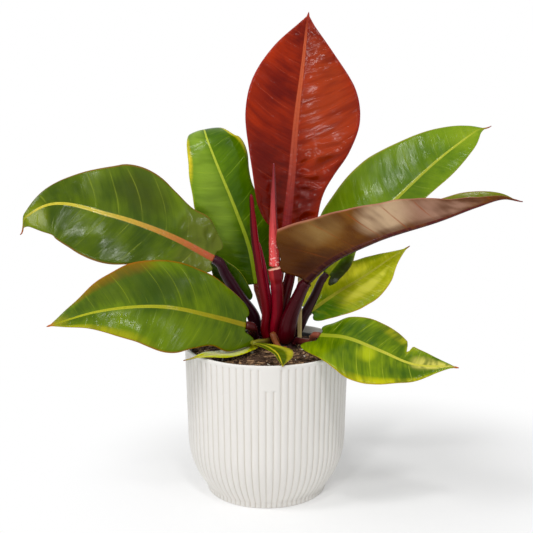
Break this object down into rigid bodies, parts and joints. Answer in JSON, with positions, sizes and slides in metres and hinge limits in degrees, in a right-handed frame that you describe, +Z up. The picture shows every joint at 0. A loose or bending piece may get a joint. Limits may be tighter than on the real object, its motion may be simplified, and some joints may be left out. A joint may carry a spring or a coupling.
{
  "type": "potted philodendron",
  "caption": "Philodendron with red, bronze and green leaves in a white ribbed planter, with its nursery pot and potting mix.",
  "frame": {"origin": "centre of the flat underside of the planter, on the surface that it stands on", "axes": "+Z up; -Y the front of the plant, with the planter's smooth panel; +X to the right as seen from the front"},
  "size_m": [0.5461, 0.2452, 0.5311],
  "materials": {
    "planter": "matt warm white",
    "nursery_pot": "matt black",
    "potting_mix": "dark brown, rough, mixed bark and fibre",
    "crown": "dull dark red brown",
    "stake": "pale, satin",
    "leaf_top": "brick red, glossy",
    "stalks": "smooth dark maroon",
    "leaf_upper_left": "glossy mid green with a pink midrib",
    "leaf_back_left": "yellow green",
    "leaf_lower_left": "glossy green with yellow edges",
    "leaf_right_back": "glossy green",
    "leaf_folded_right": "bronze brown underside, glossy",
    "leaf_lower_back": "light yellow green",
    "leaf_right_front": "glossy green with yellow edges",
    "leaf_behind_left": "dark green",
    "leaf_rim_left": "yellow green",
    "leaf_rim_front": "light yellow green",
    "red_sheath": "smooth deep red",
    "inner_sheath": "smooth crimson",
    "bud_sheath": "wet-looking crimson to coral red",
    "dry_sheath": "dull reddish brown",
    "rolled_leaf": "glossy pink red"
  },
  "bodies": {
    "root": {"planter": "planter", "nursery_pot": "nursery_pot", "potting_mix": "potting_mix", "crown": "crown", "stake": "stake", "leaf_top": "leaf_top", "stalk_top": "stalks", "leaf_upper_left": "leaf_upper_left", "stalk_upper_left": "stalks", "leaf_back_left": "leaf_back_left", "stalk_back_left": "stalks", "leaf_lower_left": "leaf_lower_left", "stalk_lower_left": "stalks", "leaf_right_back": "leaf_right_back", "stalk_right_back": "stalks", "leaf_folded_right": "leaf_folded_right", "stalk_folded_right": "stalks", "leaf_lower_back": "leaf_lower_back", "stalk_lower_back": "stalks", "leaf_right_front": "leaf_right_front", "stalk_right_front": "stalks", "leaf_behind_left": "leaf_behind_left", "stalk_behind_left": "stalks", "leaf_rim_left": "leaf_rim_left", "stalk_rim_left": "stalks", "leaf_rim_front": "leaf_rim_front", "stalk_rim_front": "stalks", "red_sheath": "red_sheath", "inner_sheath": "inner_sheath", "bud_sheath": "bud_sheath", "dry_sheath": "dry_sheath", "rolled_leaf": "rolled_leaf"}
  },
  "joints": []
}
